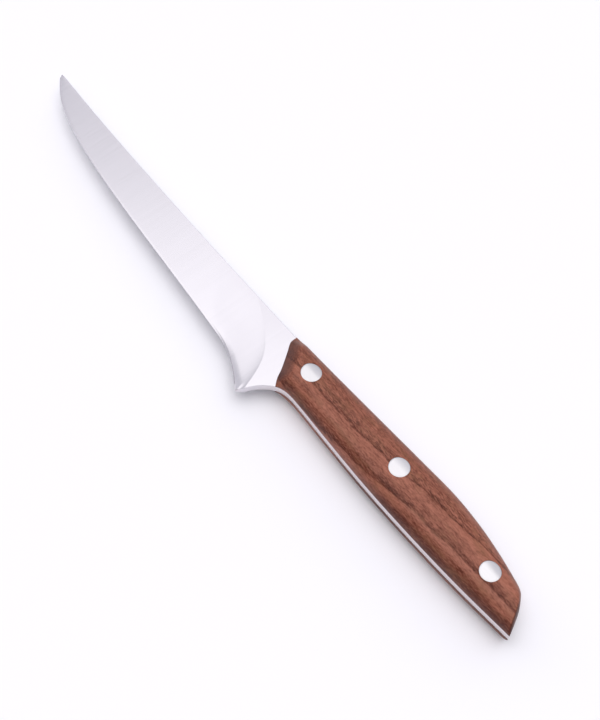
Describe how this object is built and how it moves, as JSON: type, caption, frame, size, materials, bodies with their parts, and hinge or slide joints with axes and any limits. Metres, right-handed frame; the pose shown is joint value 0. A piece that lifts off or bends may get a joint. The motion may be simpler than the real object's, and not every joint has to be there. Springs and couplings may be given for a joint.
{
  "type": "boning knife",
  "caption": "Full-tang boning knife with a slim, slightly upswept tapering blade, a curved choil behind a pointed heel, and riveted wooden handle scales; free-standing and rigid.",
  "frame": {"origin": "bottom centre of the bounding box, with the knife lying on its right side", "axes": "+X from the tip towards the butt, along the knife; +Y towards the spine; +Z out of the left side of the blade"},
  "size_m": [0.27, 0.0326, 0.016],
  "materials": {
    "blade_steel": "satin, ground across the blade",
    "handle_wood": "oiled, smooth",
    "rivet_steel": "satin, ground flush with the wood"
  },
  "bodies": {
    "root": {"blade": "blade_steel", "left_scale": "handle_wood", "right_scale": "handle_wood", "front_rivet_stud": "rivet_steel", "front_rivet_sleeve": "rivet_steel", "middle_rivet_stud": "rivet_steel", "middle_rivet_sleeve": "rivet_steel", "rear_rivet_stud": "rivet_steel", "rear_rivet_sleeve": "rivet_steel"}
  },
  "joints": []
}
